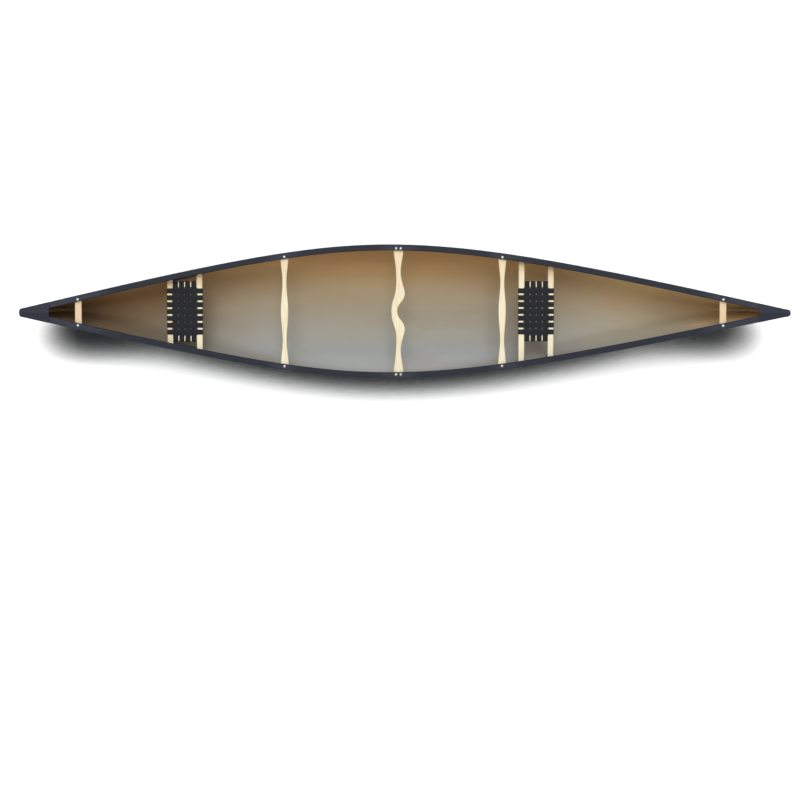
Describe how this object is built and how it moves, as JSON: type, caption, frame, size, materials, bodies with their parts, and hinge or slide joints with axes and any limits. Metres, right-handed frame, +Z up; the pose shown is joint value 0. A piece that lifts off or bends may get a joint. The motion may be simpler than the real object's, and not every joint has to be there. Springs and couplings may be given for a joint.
{
  "type": "canoe",
  "caption": "Open tandem canoe with vinyl gunwales, ash yoke, thwarts and handles, and two webbed ash seats hung from riveted hangers.",
  "frame": {"origin": "centre of the bounding box in plan, at the lowest point of the keel, which is what the canoe stands on", "axes": "+X toward the bow, +Y toward port, +Z up from the keel toward the gunwales"},
  "size_m": [4.877, 0.8696, 0.5918],
  "materials": {
    "hull_laminate": "semi-gloss dark teal green, bare",
    "gunwale_vinyl": "satin blue-black extruded vinyl",
    "deck_cap_plastic": "satin blue-black moulded plastic",
    "gunwale_insert": "mill finish extrusion",
    "ash_wood": "clear varnished pale ash, satin",
    "webbing": "black flat woven strap",
    "hanger_black": "black coated plate",
    "stainless_hardware": "plain stainless",
    "rivet": "black domed rivets"
  },
  "bodies": {
    "root": {"aft_thwart": "ash_wood", "bow_carry_handle": "ash_wood", "bow_deck_cap": "deck_cap_plastic", "bow_deck_cap_rivets": "rivet", "bow_seat_bolts": "stainless_hardware", "bow_seat_cross_straps": "webbing", "bow_seat_front_rail": "ash_wood", "bow_seat_hanger_port": "hanger_black", "bow_seat_hanger_starboard": "hanger_black", "bow_seat_long_straps": "webbing", "bow_seat_nuts": "stainless_hardware", "bow_seat_rear_rail": "ash_wood", "bow_seat_rivets": "rivet", "bow_seat_side_bar_port": "ash_wood", "bow_seat_side_bar_starboard": "ash_wood", "carry_handle_bolts": "stainless_hardware", "carry_handle_nuts": "stainless_hardware", "carry_handle_washers": "stainless_hardware", "center_yoke": "ash_wood", "forward_thwart": "ash_wood", "gunwale_insert_port": "gunwale_insert", "gunwale_insert_starboard": "gunwale_insert", "gunwale_port": "gunwale_vinyl", "gunwale_starboard": "gunwale_vinyl", "hull": "hull_laminate", "stern_carry_handle": "ash_wood", "stern_deck_cap": "deck_cap_plastic", "stern_deck_cap_rivets": "rivet", "stern_seat_bolts": "stainless_hardware", "stern_seat_cross_straps": "webbing", "stern_seat_front_rail": "ash_wood", "stern_seat_hanger_port": "hanger_black", "stern_seat_hanger_starboard": "hanger_black", "stern_seat_long_straps": "webbing", "stern_seat_nuts": "stainless_hardware", "stern_seat_rear_rail": "ash_wood", "stern_seat_rivets": "rivet", "stern_seat_side_bar_port": "ash_wood", "stern_seat_side_bar_starboard": "ash_wood", "thwart_bolts": "stainless_hardware", "thwart_nuts": "stainless_hardware", "thwart_washers": "stainless_hardware", "yoke_bolts": "stainless_hardware", "yoke_nuts": "stainless_hardware", "yoke_washers": "stainless_hardware"}
  },
  "joints": []
}
